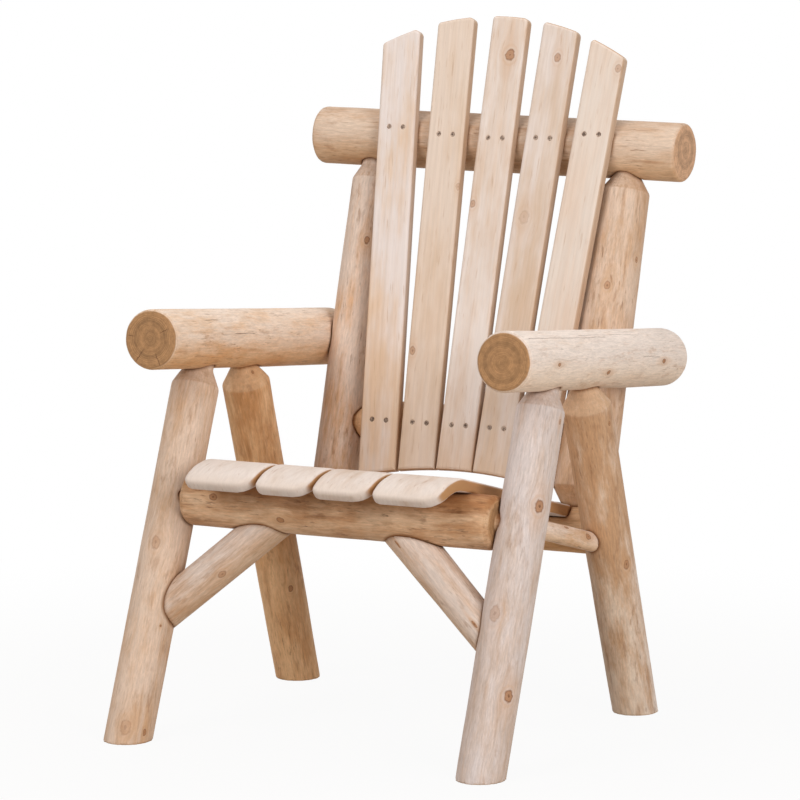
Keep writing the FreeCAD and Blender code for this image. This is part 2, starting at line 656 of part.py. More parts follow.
# Legs, armrests, side rails, braces and posts, one of each on both sides
for name, side in SIDES.items():
    front_leg = leg(side, "front").cut(front_rail_tenons(FIT)).cut(side_rail_tenons(side, FIT))
    nodes[f"front_leg_{name}"] = drill(front_leg, brace_hole, brace_spots[side][:1])
    rear_leg = leg(side, "rear").cut(side_rail_tenons(side, FIT))
    nodes[f"rear_leg_{name}"] = drill(rear_leg, lag_hole(REAR_LAG_LENGTH), [rear_lag_spot(side)])
    arm = cut_all(armrest(side), [leg(side, "front", FIT), leg(side, "rear", FIT), post(side, FIT)])
    nodes[f"armrest_{name}"] = drill(arm, lag_hole(LAG_LENGTH), [arm_lag_spot(side)])
    pole = round_bar(*side_rail_ends(side), SIDE_RAIL_DIA / 2)
    pole = cut_all(pole, [leg(side, "front", FIT), leg(side, "rear", FIT)])
    nodes[f"side_rail_{name}"] = pole.fuse(side_rail_tenons(side)).removeSplitter()
    brace = cut_all(brace_log(side), [leg(side, "front", FIT), front_rail_log(FIT)])
    nodes[f"front_brace_{name}"] = drill(brace, brace_hole, brace_spots[side])
    back_post = post(side).cut(lower_rail(FIT))
    nodes[f"back_post_{name}"] = drill(back_post, lag_hole(LAG_LENGTH), [arm_lag_spot(side)])

# Seat rails
seat_housings = []
for centre, width in zip(seat_slat_centres(), SEAT_SLAT_WIDTHS):
    block = placed(seat_housing(width), seat_plane)
    block.translate(X_AXIS * centre)
    seat_housings.append(block)
front_rail = cut_all(front_rail_log(), [leg(side, "front", FIT) for side in SIDES.values()])
front_rail = cut_all(front_rail.fuse(front_rail_tenons()).removeSplitter(), seat_housings)
front_rail = drill(front_rail, seat_hole, seat_spots["front"])
for side in SIDES.values():
    front_rail = drill(front_rail, brace_hole, brace_spots[side][1:])
nodes["front_seat_rail"] = front_rail

rear_rail = cross_log(rear_rail_axis, REAR_RAIL_LENGTH, REAR_RAIL_DIA)
for side in SIDES.values():
    rear_rail = cut_all(rear_rail, [leg(side, "rear", FIT), post(side, FIT)])
rear_rail = drill(cut_all(rear_rail, seat_housings), seat_hole, seat_spots["rear"])
nodes["rear_seat_rail"] = drill(rear_rail, lag_hole(REAR_LAG_LENGTH), rear_lag_spots)

# Back rails
back_housings = [back_housing(number) for number in slat_numbers]
tilt = math.radians(TOP_RAIL_TILT)
top_rail_along = X_AXIS * math.cos(tilt) - slat_up * math.sin(tilt)
top_rail_middle = top_rail_axis + top_rail_along * TOP_RAIL_CENTRE
top_rail = cross_log(top_rail_middle, TOP_RAIL_LENGTH, TOP_RAIL_DIA, along=top_rail_along)
top_rail = cut_all(top_rail, [post(side, FIT) for side in SIDES.values()] + back_housings)
nodes["top_back_rail"] = drill(top_rail, back_hole, back_spots["top"])
nodes["lower_back_rail"] = drill(cut_all(lower_rail(), back_housings), back_hole, back_spots["lower"])

# Slats
panel = back_panel()
for number in slat_numbers:
    spots = [spot for rail in back_spots.values() for spot in rail[2 * number:2 * number + 2]]
    nodes[f"back_slat_{number + 1}"] = drill(back_slat(number, panel), back_hole, spots)
for number, (centre, width) in enumerate(zip(seat_slat_centres(), SEAT_SLAT_WIDTHS)):
    slat = placed(seat_slat(width), seat_plane)
    slat.translate(X_AXIS * centre)
    spots = [spot for rail in seat_spots.values() for spot in rail[2 * number:2 * number + 2]]
    nodes[f"seat_slat_{number + 1}"] = drill(slat, seat_hole, spots)

# Fasteners
for rail, spots in back_spots.items():
    nodes[f"back_slat_{rail}_screws"] = [aimed(screw(BACK_SCREW_LENGTH), *spot) for spot in spots]
for rail, spots in seat_spots.items():
    nodes[f"seat_slat_{rail}_screws"] = [aimed(screw(SEAT_SCREW_LENGTH), *spot) for spot in spots]
all_brace_spots = [spot for spots in brace_spots.values() for spot in spots]
nodes["brace_screws"] = [aimed(screw(BRACE_SCREW_LENGTH), *spot) for spot in all_brace_spots]
nodes["arm_lag_screws"], nodes["arm_lag_washers"] = lag_parts(arm_lag_spots, LAG_LENGTH)
nodes["rear_rail_lag_screws"], nodes["rear_rail_lag_washers"] = lag_parts(rear_lag_spots, REAR_LAG_LENGTH)

os.makedirs("parts", exist_ok=True)
for name, shape in nodes.items():
    solids = shape if isinstance(shape, list) else shape.Solids
    whole = solids[0] if len(solids) == 1 else Part.makeCompound(solids)
    whole.translate(Vector(0, -chair_middle, 0))
    whole.exportStep(f"parts/{name}.step")
    print(f"{name}: {len(solids)} solid(s), valid {whole.isValid()}, {whole.Volume / 1000:.1f} cm3")
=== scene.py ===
import bpy
import json
import math
import numpy as np
from mathutils import Matrix, Vector
from mathutils.bvhtree import BVHTree


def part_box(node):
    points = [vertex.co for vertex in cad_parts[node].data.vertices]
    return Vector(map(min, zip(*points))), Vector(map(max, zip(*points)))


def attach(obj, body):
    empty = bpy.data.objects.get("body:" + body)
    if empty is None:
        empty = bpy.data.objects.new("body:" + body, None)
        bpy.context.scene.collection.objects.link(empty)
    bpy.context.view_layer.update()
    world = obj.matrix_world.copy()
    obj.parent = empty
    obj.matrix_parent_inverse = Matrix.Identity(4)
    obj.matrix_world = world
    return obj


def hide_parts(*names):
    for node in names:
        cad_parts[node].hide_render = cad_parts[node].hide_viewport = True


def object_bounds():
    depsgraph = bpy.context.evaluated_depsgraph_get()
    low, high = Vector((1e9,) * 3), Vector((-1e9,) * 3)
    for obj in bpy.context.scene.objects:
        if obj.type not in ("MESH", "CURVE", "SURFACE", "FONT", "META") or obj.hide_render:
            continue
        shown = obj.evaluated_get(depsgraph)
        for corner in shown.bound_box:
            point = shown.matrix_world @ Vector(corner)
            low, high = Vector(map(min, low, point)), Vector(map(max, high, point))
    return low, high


# Log lounge chair: the CAD frame gets peeled-log skins, planed slats and dark screws.
# Metres, +Z up, the sitter faces -Y; "right" is +X, as seen by someone facing the chair.
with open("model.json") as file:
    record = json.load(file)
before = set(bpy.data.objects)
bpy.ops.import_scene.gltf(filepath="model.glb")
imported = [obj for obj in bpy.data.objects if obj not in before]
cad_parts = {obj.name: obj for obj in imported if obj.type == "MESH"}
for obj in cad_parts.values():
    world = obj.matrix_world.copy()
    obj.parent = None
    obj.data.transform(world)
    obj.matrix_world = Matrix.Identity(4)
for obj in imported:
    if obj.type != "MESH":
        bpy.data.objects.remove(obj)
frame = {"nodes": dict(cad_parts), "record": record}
cad_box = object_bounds()
nodes = frame["nodes"]
slots = {entry["node"]: entry["material_slot"] for entry in frame["record"]["subparts"]}
scene = bpy.context.scene
SIDES = {"left": -1, "right": 1}


def colour(red, green, blue):
    """A colour as it looks, on the usual scale of 0 to 255, for a shader socket."""
    def linear(level):
        share = level / 255
        return share / 12.92 if share <= 0.04045 else ((share + 0.055) / 1.055) ** 2.4
    return (linear(red), linear(green), linear(blue), 1.0)


# Joining shader nodes
class Graph:
    """Adds nodes to one material or node group and joins them."""

    def __init__(self, tree):
        self.tree = tree

    def node(self, kind, **settings):
        made = self.tree.nodes.new(kind)
        for name, value in settings.items():
            setattr(made, name, value)
        return made

    def feed(self, socket, value):
        if isinstance(value, bpy.types.NodeSocket):
            self.tree.links.new(value, socket)
        else:
            socket.default_value = value

    def maths(self, operation, *values, clamp=False):
        made = self.node("ShaderNodeMath", operation=operation, use_clamp=clamp)
        for socket, value in zip(made.inputs, values):
            self.feed(socket, value)
        return made.outputs[0]

    def product(self, *values):
        result = values[0]
        for value in values[1:]:
            result = self.maths("MULTIPLY", result, value)
        return result

    def vector(self, operation, *values):
        made = self.node("ShaderNodeVectorMath", operation=operation)
        for socket, value in zip(made.inputs, values):
            self.feed(socket, value)
        single = operation in ("LENGTH", "DOT_PRODUCT", "DISTANCE")
        return made.outputs["Value" if single else "Vector"]

    def scaled(self, vector, factor):
        """A vector, or a colour, times a factor."""
        made = self.node("ShaderNodeVectorMath", operation="SCALE")
        self.feed(made.inputs[0], vector)
        self.feed(made.inputs["Scale"], factor)
        return made.outputs["Vector"]

    def noise(self, place, stretch, detail=2.0, rough=0.5, drift=False):
        """Noise with its own fineness along each axis; drift gives three values around zero."""
        made = self.node("ShaderNodeTexNoise")
        self.feed(made.inputs["Vector"], self.vector("MULTIPLY", place, stretch))
        made.inputs["Scale"].default_value = 1.0
        made.inputs["Detail"].default_value = detail
        made.inputs["Roughness"].default_value = rough
        if drift:
            return self.vector("SUBTRACT", made.outputs[1], (0.5, 0.5, 0.5))
        return made.outputs[0]

    def step(self, value, low, high, start=0.0, end=1.0):
        """A soft step from start to end while the value goes from low to high."""
        made = self.node("ShaderNodeMapRange", interpolation_type="SMOOTHSTEP")
        for name, given in (("Value", value), ("From Min", low), ("From Max", high),
                            ("To Min", start), ("To Max", end)):
            self.feed(made.inputs[name], given)
        return made.outputs[0]

    def wave(self, phase):
        return self.maths("MULTIPLY_ADD", self.maths("SINE", phase), 0.5, 0.5)

    def mix(self, share, first, second):
        made = self.node("ShaderNodeMix", data_type="RGBA", blend_type="MIX")
        self.feed(made.inputs[0], share)
        self.feed(made.inputs[6], first)
        self.feed(made.inputs[7], second)
        return made.outputs[2]


def new_group(name, inputs, outputs):
    tree = bpy.data.node_groups.new(name, "ShaderNodeTree")
    for direction, sockets in (("INPUT", inputs), ("OUTPUT", outputs)):
        for label, kind in sockets.items():
            tree.interface.new_socket(label, in_out=direction, socket_type="NodeSocket" + kind)
    graph = Graph(tree)
    return graph, graph.node("NodeGroupInput").outputs, graph.node("NodeGroupOutput").inputs


def use_group(graph, tree, **values):
    made = graph.node("ShaderNodeGroup", node_tree=tree)
    for label, value in values.items():
        graph.feed(made.inputs[label], value)
    return made.outputs


def new_material(name):
    made = bpy.data.materials.new(name)
    made.use_nodes = True
    return made, Graph(made.node_tree), made.node_tree.nodes["Principled BSDF"]


# Wood. Every piece has its own grain frame: Z along the wood, the pith on that axis.
KNOT_WOBBLE = 0.7     # unevenness of a knot's outline, in radii
KNOT_RINGS = 14.0     # phase of a knot's rings per radius
TRUNK_RINGS = 2300.0  # phase of a log's growth rings per metre
BOARD_RINGS = 1150.0  # phase of a board's growth rings per metre
BOARD_HEART = (0.02, 0.06, 0.0)   # from the heart of a board's tree to the board
SEED_SHIFT = (3.7, 5.3, 2.1)      # each piece takes its grain from its own part of the noise
STRAY = 0.008         # how far a crack strays from its line


def knot_group():
    """A knot: it bends the grain round itself and gives masks for its heart, rim and stain."""
    graph, given, result = new_group(
        "knot",
        {"Place": "Vector", "Centre": "Vector", "Radius": "Float", "Oval": "Vector", "Depth": "Float"},
        {"Place": "Vector", "Core": "Float", "Rim": "Float", "Stain": "Float"},
    )
    offset = graph.vector("SUBTRACT", given["Place"], given["Centre"])
    oval = graph.vector("MULTIPLY", offset, given["Oval"])
    wobble = graph.noise(given["Place"], (190.0, 190.0, 170.0), 2.0)
    wobble = graph.maths("MULTIPLY_ADD", wobble, KNOT_WOBBLE, -KNOT_WOBBLE / 2)
    away = graph.maths("DIVIDE", graph.vector("LENGTH", oval), given["Radius"])
    away = graph.maths("ADD", away, wobble)
    pull = graph.maths("POWER", math.e, graph.product(away, away, -0.16))
    shove = graph.scaled(graph.vector("MULTIPLY", offset, (0.74, 0.74, 0.08)), pull)
    graph.feed(result["Place"], graph.vector("SUBTRACT", given["Place"], shove))
    ring = graph.wave(graph.maths("MULTIPLY", away, KNOT_RINGS))
    edge = graph.maths("MULTIPLY", graph.step(away, 0.66, 0.95), graph.step(away, 1.25, 1.0))
    rings = graph.product(graph.step(away, 1.0, 0.5), ring, 0.3)
    middle = graph.maths("ADD", graph.step(away, 0.45, 0.1), rings)
    stretched = graph.vector("LENGTH", graph.vector("MULTIPLY", oval, (1.0, 1.0, 0.42)))
    stretched = graph.maths("ADD", graph.maths("DIVIDE", stretched, given["Radius"]), wobble)
    halo = graph.maths("MULTIPLY", graph.step(away, 1.35, 1.75), graph.step(away, 2.2, 1.8))
    halo = graph.maths("MULTIPLY", halo, 0.4)
    stain = graph.maths("MULTIPLY_ADD", graph.step(stretched, 2.8, 0.9), 0.7, halo, clamp=True)
    dark = graph.maths("MULTIPLY_ADD", edge, 0.7, middle, clamp=True)
    graph.feed(result["Core"], graph.maths("MULTIPLY", graph.step(away, 1.2, 0.85), given["Depth"]))
    graph.feed(result["Rim"], graph.maths("MULTIPLY", dark, given["Depth"]))
    strength = graph.maths("MULTIPLY_ADD", given["Depth"], 0.6, 0.25)
    graph.feed(result["Stain"], graph.maths("MULTIPLY", stain, strength))
    return graph.tree


def split_group():
    """A thin crack on one line of the wood, between two distances along it."""
    graph, given, result = new_group(
        "split",
        {"Place": "Vector", "Across": "Vector", "Along": "Vector", "Toward": "Vector",
         "From": "Float", "To": "Float", "Width": "Float"},
        {"Split": "Float"},
    )
    jitter = graph.noise(given["Place"], (70.0, 70.0, 22.0), 3.0, 0.55)
    aside = graph.vector("DOT_PRODUCT", given["Place"], given["Across"])
    stray = graph.maths("MULTIPLY_ADD", jitter, STRAY, -STRAY / 2)
    aside = graph.maths("ABSOLUTE", graph.maths("ADD", aside, stray))
    run = graph.vector("DOT_PRODUCT", given["Place"], given["Along"])
    line = graph.step(graph.maths("DIVIDE", aside, given["Width"]), 1.0, 0.35)
    begun = graph.step(graph.maths("SUBTRACT", run, given["From"]), 0.0, 0.006)
    ended = graph.step(graph.maths("SUBTRACT", run, given["To"]), 0.0, -0.006)
    near = graph.step(graph.vector("DOT_PRODUCT", given["Place"], given["Toward"]), 0.0, 0.004)
    graph.feed(result["Split"], graph.product(line, begun, ended, near))
    return graph.tree


WOOD_INPUTS = {
    "Place": "Vector", "Facing": "Float", "Side": "Float", "Seed": "Float",
    "Core": "Float", "Rim": "Float", "Stain": "Float", "Split": "Float",
    "Pale": "Color", "Warm": "Color", "Streak": "Color", "End": "Color", "Shaded": "Color",
    "Warmth": "Float", "Flecks": "Float",
}
WOOD_OUTPUTS = {"Colour": "Color", "Roughness": "Float", "Height": "Float"}
KNOT_STAIN = colour(196, 150, 108)
KNOT_HEART = colour(176, 126, 86)
KNOT_RIM = colour(102, 62, 36)
CRACK = colour(100, 64, 40)
JOINT_SHADE_AND_DIRT = (0.42, 0.28, 0.17)    # factors for the painted contact shade and dirt where two pieces meet
JOINT_FADE = 1.4                   # how fast the painted shade and dirt thin out beside the joint
WARMTH_RUN = (0.08, 0.45)          # warmth changes between these places along the wood
UNSHADED = (1, 1, 1, 1)
WOOD_GLOSS = 0.28
BUMP_STRENGTH = 0.6


def knot_colour(graph, given, wood):
    """The wood's colour with its knots laid over it: the honey stain, the heart and the dark rim."""
    speck = graph.noise(given["Place"], (420.0, 420.0, 420.0), 3.0, 0.7)
    stained = graph.mix(graph.maths("MULTIPLY", given["Stain"], 0.55), wood, KNOT_STAIN)
    heart = graph.mix(graph.maths("MULTIPLY", given["Core"], 0.9), stained, KNOT_HEART)
    dark = graph.maths("MULTIPLY", given["Rim"], graph.step(speck, 0.25, 0.6, 0.45, 0.9))
    return graph.mix(dark, heart, KNOT_RIM)


def painted_shade_and_edge_colour(graph, given, wood):
    """The wood's colour times its Side tone where Side is 1: painted shade on a log, darker side faces
    on a board.
    """
    tone = graph.mix(given["Side"], UNSHADED, given["Shaded"])
    return graph.vector("MULTIPLY", wood, tone)


def trunk_group():
    """Peeled log: long grain on its side, rings on its sawn ends, rings at a slant on its cones."""
    graph, given, result = new_group("trunk", WOOD_INPUTS, WOOD_OUTPUTS)
    place = given["Place"]
    bow = graph.scaled(graph.noise(place, (0.0, 0.0, 6.0), 1.0, drift=True), 0.012)
    drawn = graph.vector("ADD", graph.vector("ADD", place, bow), graph.scaled(SEED_SHIFT, given["Seed"]))
    facing = graph.maths("ABSOLUTE", given["Facing"])
    end = graph.step(facing, 0.74, 0.92)
    cone = graph.maths("MULTIPLY", graph.step(facing, 0.25, 0.42), graph.maths("SUBTRACT", 1.0, end))

    # Growth rings round a pith that lies a little aside
    pith = graph.scaled(graph.noise(drawn, (0.0, 0.0, 0.6), 1.0, drift=True), 0.02)
    flat = graph.vector("MULTIPLY", graph.vector("ADD", place, pith), (1.0, 1.0, 0.0))
    radius = graph.vector("LENGTH", flat)
    uneven = graph.noise(drawn, (42.0, 42.0, 5.0), 3.0)
    warped = graph.maths("MULTIPLY_ADD", uneven, 0.008, radius)
    ring = graph.wave(graph.maths("MULTIPLY", warped, TRUNK_RINGS))
    growth = graph.scaled((170.0, 0.0, 0.0), warped)
    growth = graph.vector("ADD", growth, graph.scaled((0.0, 9.0, 0.0), given["Seed"]))

    # Side: pale and warm patches, brown mottling, streaks, lines, flecks and hairline cracks
    patch = graph.noise(drawn, (26.0, 26.0, 9.0), 5.0, 0.68)
    streak = graph.noise(drawn, (90.0, 90.0, 10.0), 4.0, 0.65)
    line = graph.noise(drawn, (300.0, 300.0, 24.0), 3.0, 0.65)
    tone = graph.maths("ADD", graph.maths("MULTIPLY", patch, 0.7), graph.maths("MULTIPLY", streak, 0.3))
    tone = graph.maths("ADD", tone, given["Warmth"])
    side = graph.mix(graph.step(tone, 0.86, 1.16), given["Pale"], given["Warm"])
    blot = graph.noise(drawn, (100.0, 100.0, 34.0), 3.0, 0.6)
    blot_zone = graph.step(graph.noise(drawn, (15.0, 15.0, 7.0), 2.0), 0.44, 0.62)
    mottling = graph.product(graph.step(blot, 0.52, 0.7), blot_zone, given["Flecks"])
    side = graph.mix(graph.maths("MULTIPLY", mottling, 0.36, clamp=True), side, given["Streak"])
    brown = graph.maths("MULTIPLY", graph.step(streak, 0.54, 0.74), 0.34)
    side = graph.mix(brown, side, given["Streak"])
    side = graph.scaled(side, graph.step(line, 0.3, 0.7, 1.05, 0.92))
    fibre = graph.noise(drawn, (420.0, 420.0, 75.0), 4.0, 0.75)
    side = graph.scaled(side, graph.step(fibre, 0.25, 0.75, 1.1, 0.86))
    dash = graph.noise(drawn, (360.0, 360.0, 46.0), 3.0, 0.6)
    dash_zone = graph.step(graph.noise(drawn, (26.0, 26.0, 11.0), 2.0), 0.42, 0.62)
    fleck = graph.product(graph.step(dash, 0.58, 0.72), dash_zone, given["Flecks"])
    fleck_colour = graph.scaled(given["Streak"], 0.76)
    side = graph.mix(graph.maths("MULTIPLY", fleck, 0.42, clamp=True), side, fleck_colour)
    hair = graph.noise(drawn, (40.0, 40.0, 2.2), 3.0, 0.5)
    hair_line = graph.step(graph.maths("ABSOLUTE", graph.maths("SUBTRACT", hair, 0.5)), 0.009, 0.0)
    hair_zone = graph.step(graph.noise(drawn, (14.0, 14.0, 11.0), 2.0), 0.56, 0.68)
    crack = graph.product(hair_line, hair_zone, 0.3)
    side = graph.mix(crack, side, CRACK)

    # Sawn end: uneven soft rings, a darker heart and a darker band two thirds out
    mottle = graph.noise(drawn, (110.0, 110.0, 110.0), 5.0, 0.7)
    broad = graph.noise(growth, (1.0, 1.0, 1.0), 3.0, 0.7)
    band = graph.maths("MULTIPLY", graph.step(radius, 0.016, 0.025), graph.step(radius, 0.036, 0.028))
    fine_rings = graph.maths("MULTIPLY_ADD", graph.product(ring, mottle), 0.30, 0.90)
    sawn = graph.scaled(given["End"], fine_rings)
    sawn = graph.scaled(sawn, graph.step(broad, 0.3, 0.7, 0.82, 1.16))
    sawn = graph.scaled(sawn, graph.step(mottle, 0.3, 0.7, 0.84, 1.14))
    sawn = graph.scaled(sawn, graph.maths("MULTIPLY_ADD", band, -0.14, 1.0))
    sawn = graph.scaled(sawn, graph.step(radius, 0.001, 0.014, 0.8, 1.0))

    # Cone: the cutter leaves fine rounds and shows some end grain
    turned = graph.mix(graph.maths("MULTIPLY_ADD", mottle, 0.6, -0.05, clamp=True), side, given["End"])
    rounds = graph.noise(place, (30.0, 30.0, 260.0), 3.0, 0.6)
    turned = graph.scaled(turned, graph.step(rounds, 0.35, 0.7, 1.03, 0.95))
    # Painted shade: the Side tone darkens a log's underside, and the front rail's top under the seat
    shade = painted_shade_and_edge_colour(graph, given, graph.mix(cone, side, turned))
    shade = graph.mix(end, shade, sawn)
    shade = graph.mix(graph.maths("MULTIPLY", given["Split"], 0.6), shade, CRACK)

    graph.feed(result["Colour"], knot_colour(graph, given, shade))
    rough = graph.step(streak, 0.3, 0.7, 0.74, 0.6)
    graph.feed(result["Roughness"], graph.maths("ADD", rough, graph.maths("MULTIPLY", end, 0.15)))
    relief = graph.maths("MULTIPLY_ADD", line, -0.4, graph.maths("MULTIPLY", streak, -0.45))
    relief = graph.maths("SUBTRACT", relief, graph.maths("MULTIPLY", fleck, 0.4))
    relief = graph.maths("SUBTRACT", relief, graph.maths("ADD", crack, given["Split"]))
    relief = graph.maths("ADD", relief, graph.maths("MULTIPLY", given["Core"], 0.35))
    relief = graph.maths("ADD", relief, graph.product(cone, rounds, -0.5))
    graph.feed(result["Height"], relief)
    return graph.tree


def board_group():
    """Planed board: rings of a tree whose heart lies behind and beside it, fine pores, sawn ends."""
    graph, given, result = new_group("board", WOOD_INPUTS, WOOD_OUTPUTS)
    place = graph.vector("MULTIPLY", given["Place"], (1.0, 0.3, 1.0))
    drawn = graph.vector("ADD", place, graph.scaled(SEED_SHIFT, given["Seed"]))
    end = graph.step(graph.maths("ABSOLUTE", given["Facing"]), 0.6, 0.85)

    heart = graph.scaled(graph.noise(drawn, (0.0, 0.0, 0.35), 1.0, drift=True), 0.12)
    bend = graph.scaled(graph.noise(drawn, (10.0, 10.0, 1.8), 2.0, drift=True), 0.02)
    tree = graph.vector("ADD", graph.vector("ADD", place, BOARD_HEART), graph.vector("ADD", heart, bend))
    radius = graph.vector("LENGTH", graph.vector("MULTIPLY", tree, (1.0, 1.0, 0.0)))
    uneven = graph.noise(drawn, (70.0, 70.0, 3.0), 2.0)
    phase = graph.maths("MULTIPLY", radius, BOARD_RINGS)
    ring = graph.wave(graph.maths("ADD", phase, graph.maths("MULTIPLY", uneven, 3.0)))
    late = graph.maths("POWER", ring, 3.0)

    patch = graph.noise(drawn, (16.0, 16.0, 5.0), 4.0, 0.6)
    streak = graph.noise(drawn, (80.0, 80.0, 3.0), 4.0, 0.6)
    fibre = graph.noise(drawn, (280.0, 280.0, 10.0), 4.0, 0.7)
    tone = graph.maths("ADD", graph.maths("MULTIPLY", patch, 0.7), graph.maths("MULTIPLY", streak, 0.3))
    tone = graph.maths("ADD", tone, given["Warmth"])
    shade = graph.mix(graph.step(tone, 0.9, 1.16), given["Pale"], given["Warm"])
    shade = graph.mix(graph.product(late, patch, 0.16), shade, given["Streak"])
    shade = graph.scaled(shade, graph.step(fibre, 0.3, 0.7, 1.035, 0.95))
    pore = graph.step(graph.noise(drawn, (320.0, 320.0, 26.0), 2.0), 0.62, 0.74)
    pore = graph.product(pore, given["Flecks"])
    shade = graph.mix(graph.maths("MULTIPLY", pore, 0.34), shade, given["Streak"])
    shade = painted_shade_and_edge_colour(graph, given, shade)
    sawn = graph.scaled(given["End"], graph.step(fibre, 0.3, 0.7, 1.03, 0.95))
    shade = graph.mix(end, shade, sawn)
    shade = graph.mix(graph.maths("MULTIPLY", given["Split"], 0.8), shade, CRACK)

    graph.feed(result["Colour"], knot_colour(graph, given, shade))
    graph.feed(result["Roughness"], graph.step(ring, 0.0, 1.0, 0.64, 0.55))
    relief = graph.maths("MULTIPLY_ADD", late, 0.4, graph.maths("MULTIPLY", fibre, -0.35))
    hollow = graph.maths("ADD", graph.maths("MULTIPLY", pore, 0.3), given["Split"])
    relief = graph.maths("SUBTRACT", relief, hollow)
    graph.feed(result["Height"], relief)
    return graph.tree


knot_tree = knot_group()
split_tree = split_group()
trunk_tree = trunk_group()
board_tree = board_group()


def grain_frame(start, end):
    """Place of a piece's own grain frame: Z along the wood, origin at its start."""
    turn = (end - start).to_track_quat("Z", "Y").to_matrix().to_4x4()
    return Matrix.Translation(start) @ turn


def wood(name, tree, own, tones, seed, warmth, flecks, relief, knots=(), splits=()):
    """A material of one log or board. Warmth is given at its start and further along it,
    knots and splits by their places in the chair."""
    made, graph, shader = new_material(name)
    inward = own.inverted()
    coordinates = graph.node("ShaderNodeTexCoord")
    mapping = graph.node("ShaderNodeMapping", vector_type="POINT")
    mapping.inputs["Location"].default_value = inward.to_translation()
    mapping.inputs["Rotation"].default_value = inward.to_euler()
    graph.feed(mapping.inputs["Vector"], coordinates.outputs["Object"])
    across, _, along = own.to_3x3().col
    normal = coordinates.outputs["Normal"]
    facing = graph.vector("DOT_PRODUCT", normal, tuple(along))
    pale, warm, streak, sawn, (painted_shade_and_edge_tone, begin, full) = tones
    # Side mask: where a log gets its painted shade, and where a board gets its darker side faces
    if tree == trunk_tree:
        turned = graph.vector("DOT_PRODUCT", normal, (0, 0, 1))
    else:
        turned = graph.maths("ABSOLUTE", graph.vector("DOT_PRODUCT", normal, tuple(across)))
    side = graph.step(turned, begin, full)

    place = mapping.outputs["Vector"]
    masks = {"Core": 0.0, "Rim": 0.0, "Stain": 0.0}
    for spot, radius, length, depth in knots:
        knot = use_group(graph, knot_tree, Place=place, Centre=inward @ Vector(spot), Radius=radius,
                         Oval=(1.0, 1.0, 1.0 / length), Depth=depth)
        place = knot["Place"]
        for label, mask in masks.items():
            masks[label] = graph.maths("MAXIMUM", mask, knot[label])
    split = 0.0
    for toward, first, last, width, on_end in splits:
        toward = inward.to_3x3() @ Vector(toward)
        toward = Vector((toward.x, toward.y, 0)).normalized()
        aside = Vector((-toward.y, toward.x, 0))
        run = toward if on_end else Vector((0, 0, 1))
        line = use_group(graph, split_tree, Place=mapping.outputs["Vector"], Across=aside, Along=run,
                         Toward=toward, From=first, To=last, Width=width)
        split = graph.maths("MAXIMUM", split, line["Split"])

    parted = graph.node("ShaderNodeSeparateXYZ")
    graph.feed(parted.inputs[0], mapping.outputs["Vector"])
    warmth = graph.step(parted.outputs["Z"], *WARMTH_RUN, *warmth)
    grain = use_group(graph, tree, Place=place, Facing=facing, Side=side, Seed=seed, Split=split,
                      Pale=pale, Warm=warm, Streak=streak, End=sawn, Shaded=painted_shade_and_edge_tone,
                      Warmth=warmth, Flecks=flecks, **masks)
    # Painted contact shade and dirt: the colour darkens where another wooden piece is near
    joint = graph.node("ShaderNodeAttribute", attribute_name="joint").outputs["Fac"]
    joint_shade_and_dirt = graph.vector("MULTIPLY", grain["Colour"], JOINT_SHADE_AND_DIRT)
    near_joint = graph.maths("POWER", joint, JOINT_FADE)
    graph.feed(shader.inputs["Base Color"], graph.mix(near_joint, grain["Colour"], joint_shade_and_dirt))
    graph.feed(shader.inputs["Roughness"], grain["Roughness"])
    shader.inputs["Specular IOR Level"].default_value = WOOD_GLOSS
    bump = graph.node("ShaderNodeBump")
    bump.inputs["Strength"].default_value = BUMP_STRENGTH
    bump.inputs["Distance"].default_value = relief
    graph.feed(bump.inputs["Height"], grain["Height"])
    graph.feed(shader.inputs["Normal"], bump.outputs["Normal"])
    return made


# Peeled logs: copies of the turned CAD logs, with the uneven skin of a trunk
SWELL = (0.07, 0.0018)         # slow swelling along the log: size and depth
PEEL = (0.016, 0.0007)         # marks of the peeling knife: size and depth
SKIN_STRETCH = 4               # both are this much longer along the log than across it
SKIN_SHIFT = (0.37, 0.53, 0.11)  # each log takes its skin from its own part of the clouds
BOX_MARGIN = 0.004             # the skin lies still where the log touches the chair's outer box
MERGE_DISTANCE = 0.00001
SMOOTHING = 0.5                # share of the smoothing in each pass
LOG_SMOOTHING_PASSES = 3


def select_only(piece):
    bpy.ops.object.select_all(action="DESELECT")
    piece.select_set(True)
    bpy.context.view_layer.objects.active = piece


def apply_modifier(piece, kind, **settings):
    made = piece.modifiers.new(kind.lower(), kind)
    for name, value in settings.items():
        setattr(made, name, value)
    bpy.ops.object.modifier_apply(modifier=made.name)


def room_in_box(point):
    """Distance from a point to the nearest side of the CAD model's box."""
    low, high = cad_box
    return min(min(point[axis] - low[axis], high[axis] - point[axis]) for axis in range(3))


def fine_copy(node, name, fineness):
    """A copy of a CAD node's mesh with even small faces, without the loose crumbs of the remesh."""
    piece = bpy.data.objects.new(name, nodes[node].data.copy())
    scene.collection.objects.link(piece)
    select_only(piece)
    bpy.ops.object.mode_set(mode="EDIT")
    bpy.ops.mesh.select_all(action="SELECT")
    bpy.ops.mesh.remove_doubles(threshold=MERGE_DISTANCE)
    bpy.ops.object.mode_set(mode="OBJECT")
    apply_modifier(piece, "REMESH", mode="VOXEL", voxel_size=fineness)
    bpy.ops.object.mode_set(mode="EDIT")
    bpy.ops.mesh.select_all(action="SELECT")
    bpy.ops.mesh.separate(type="LOOSE")
    bpy.ops.object.mode_set(mode="OBJECT")
    crumbs = sorted(bpy.context.selected_objects, key=lambda part: len(part.data.vertices))
    piece = crumbs.pop()
    for crumb in crumbs:
        bpy.data.meshes.remove(crumb.data)
    piece.name = name
    select_only(piece)
    return piece


